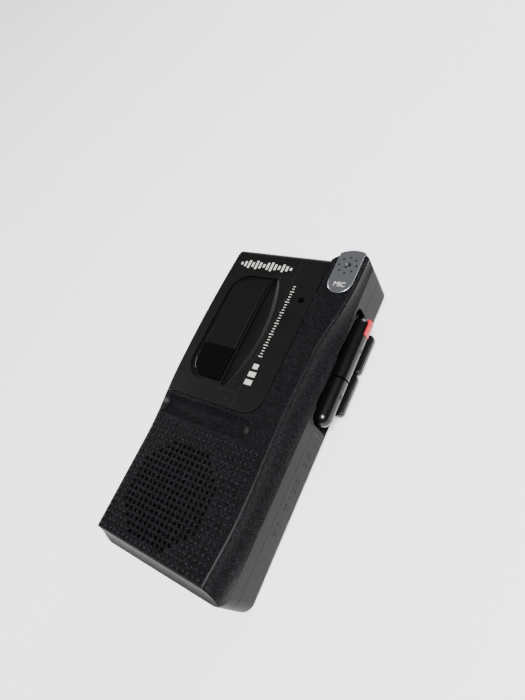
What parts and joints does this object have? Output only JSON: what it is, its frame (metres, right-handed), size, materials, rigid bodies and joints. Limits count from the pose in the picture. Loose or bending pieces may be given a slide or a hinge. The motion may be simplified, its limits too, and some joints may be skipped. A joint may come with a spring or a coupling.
{
  "type": "handheld microcassette recorder",
  "caption": "Handheld microcassette recorder with a hinged cassette lid, side key bars, perforated speaker field and a sliding battery door.",
  "frame": {"origin": "centre of the flat back face, on the middle line between the straight side walls", "axes": "+X to the key side, +Y to the microphone end, +Z out of the front"},
  "size_m": [0.0611, 0.122, 0.0243],
  "materials": {
    "case_plastic": "satin black with fine sparkle",
    "lid_plastic": "smooth satin black",
    "smoked_window": "smoked clear acrylic",
    "steel": "bright wire and pins",
    "silver_plate": "satin silver-grey",
    "aluminium_can": "drawn can",
    "rubber": "moulded",
    "lamp_lens": "dark red lens",
    "key_plastic": "semi-gloss black",
    "red_plastic": "red",
    "paddle_plastic": "satin black",
    "inner_plastic": "moulded black",
    "deck_steel": "plated sheet",
    "white_plastic": "acetal",
    "brass": "turned",
    "board_green": "solder mask",
    "paper_cone": "dark paper",
    "magnet": "plated",
    "cell_sleeve": "printed sleeve"
  },
  "bodies": {
    "case": {"front_case": "case_plastic", "rear_case": "case_plastic", "lid_hinge_pins": "steel", "mic_plate": "silver_plate", "mic_capsule": "aluminium_can", "mic_boot": "rubber", "record_lamp": "lamp_lens", "key_guide": "inner_plastic", "key_spring": "steel", "mechanism_deck": "deck_steel", "spindle_pins": "steel", "spindle_bridge": "deck_steel", "capstan_bearing": "brass", "idler_pin": "steel", "drive_motor": "deck_steel", "drive_belt": "rubber", "pinch_arm_pivot": "steel", "main_board": "board_green", "board_parts": "inner_plastic", "speaker_frame": "deck_steel", "speaker_cone": "paper_cone", "speaker_magnet": "magnet", "battery_cell_right": "cell_sleeve", "battery_cell_left": "cell_sleeve", "bridge_contact": "steel", "button_contact": "steel", "spring_contact": "steel", "volume_control": "inner_plastic", "speed_switch": "deck_steel", "voice_switch": "deck_steel", "earphone_jack": "inner_plastic", "microphone_jack": "inner_plastic", "dc_jack": "inner_plastic", "case_screws": "steel"},
    "door": {"battery_door": "case_plastic"},
    "lid": {"cassette_lid": "lid_plastic", "lid_window": "smoked_window"},
    "play": {"play_key": "key_plastic"},
    "stop": {"stop_key": "key_plastic"},
    "record": {"record_button": "red_plastic"},
    "cue": {"cue_key": "paddle_plastic"},
    "review": {"review_key": "paddle_plastic"},
    "supply": {"supply_spindle": "white_plastic"},
    "take_up": {"take_up_spindle": "white_plastic"},
    "capstan": {"capstan_shaft": "steel", "flywheel": "brass"},
    "idler": {"idler_wheel": "rubber"},
    "rotor": {"motor_pulley": "brass"},
    "heads": {"head_plate": "deck_steel", "record_head": "aluminium_can", "erase_head": "inner_plastic"},
    "pinch": {"pinch_arm": "deck_steel", "pinch_roller_pin": "steel"},
    "roller": {"pinch_roller": "rubber"},
    "volume": {"volume_wheel": "key_plastic"},
    "speed": {"speed_knob": "key_plastic"},
    "voice": {"voice_knob": "key_plastic"}
  },
  "joints": [
    {"name": "lid_hinge", "type": "hinge", "parent": "case", "child": "lid", "pos_m": [-0.0272, 0.025, 0.0172], "axis": [0, -1, 0], "range_deg": [0, 95]},
    {"name": "play_press", "type": "slide", "parent": "case", "child": "play", "axis": [-1, 0, 0], "range_m": [0, 0.002], "stiffness_N_per_m": 600},
    {"name": "stop_press", "type": "slide", "parent": "case", "child": "stop", "axis": [-1, 0, 0], "range_m": [0, 0.002], "stiffness_N_per_m": 600},
    {"name": "record_press", "type": "slide", "parent": "play", "child": "record", "axis": [-1, 0, 0], "range_m": [0, 0.001], "stiffness_N_per_m": 400},
    {"name": "cue_press", "type": "slide", "parent": "case", "child": "cue", "axis": [-1, 0, 0], "range_m": [0, 0.002], "stiffness_N_per_m": 600},
    {"name": "review_press", "type": "slide", "parent": "case", "child": "review", "axis": [-1, 0, 0], "range_m": [0, 0.002], "stiffness_N_per_m": 600},
    {"name": "head_slide", "type": "slide", "parent": "case", "child": "heads", "axis": [-1, 0, 0], "range_m": [0, 0.002]},
    {"name": "pinch_swing", "type": "hinge", "parent": "case", "child": "pinch", "pos_m": [0.0118, 0.0045, 0.014], "axis": [0, 0, 1], "range_deg": [0, 5]},
    {"name": "roller_spin", "type": "hinge", "parent": "pinch", "child": "roller", "pos_m": [0.00985, 0.0135, 0.015], "axis": [0, 0, 1], "continuous": true},
    {"name": "capstan_spin", "type": "hinge", "parent": "case", "child": "capstan", "pos_m": [0.0052, 0.0135, 0.01], "axis": [0, 0, 1], "continuous": true},
    {"name": "idler_spin", "type": "hinge", "parent": "case", "child": "idler", "pos_m": [-0.00173, 0.0233, 0.008], "axis": [0, 0, 1], "continuous": true},
    {"name": "take_up_spin", "type": "hinge", "parent": "case", "child": "take_up", "pos_m": [-0.011, 0.0364, 0.012], "axis": [0, 0, 1], "continuous": true},
    {"name": "supply_spin", "type": "hinge", "parent": "case", "child": "supply", "pos_m": [-0.011, 0.0156, 0.012], "axis": [0, 0, 1], "continuous": true},
    {"name": "motor_spin", "type": "hinge", "parent": "case", "child": "rotor", "pos_m": [0.0155, -0.009, 0.005], "axis": [0, 0, 1], "continuous": true},
    {"name": "volume_turn", "type": "hinge", "parent": "case", "child": "volume", "pos_m": [-0.015, 0.0513, 0.008], "axis": [0, 0, 1], "range_deg": [0, 270]},
    {"name": "speed_slide", "type": "slide", "parent": "case", "child": "speed", "axis": [0, 1, 0], "range_m": [0, 0.0018]},
    {"name": "voice_slide", "type": "slide", "parent": "case", "child": "voice", "axis": [0, 1, 0], "range_m": [0, 0.0018]},
    {"name": "door_slide", "type": "slide", "parent": "case", "child": "door", "axis": [0, -1, 0], "range_m": [0, 0.054]}
  ],
  "couplings": [
    {"joint": "head_slide", "follows": "play_press", "ratio": 1},
    {"joint": "pinch_swing", "follows": "play_press", "rad_per_m": 43.633},
    {"joint": "idler_spin", "follows": "capstan_spin", "ratio": -0.3352},
    {"joint": "take_up_spin", "follows": "capstan_spin", "ratio": 0.4286},
    {"joint": "motor_spin", "follows": "capstan_spin", "ratio": 4.2444}
  ]
}
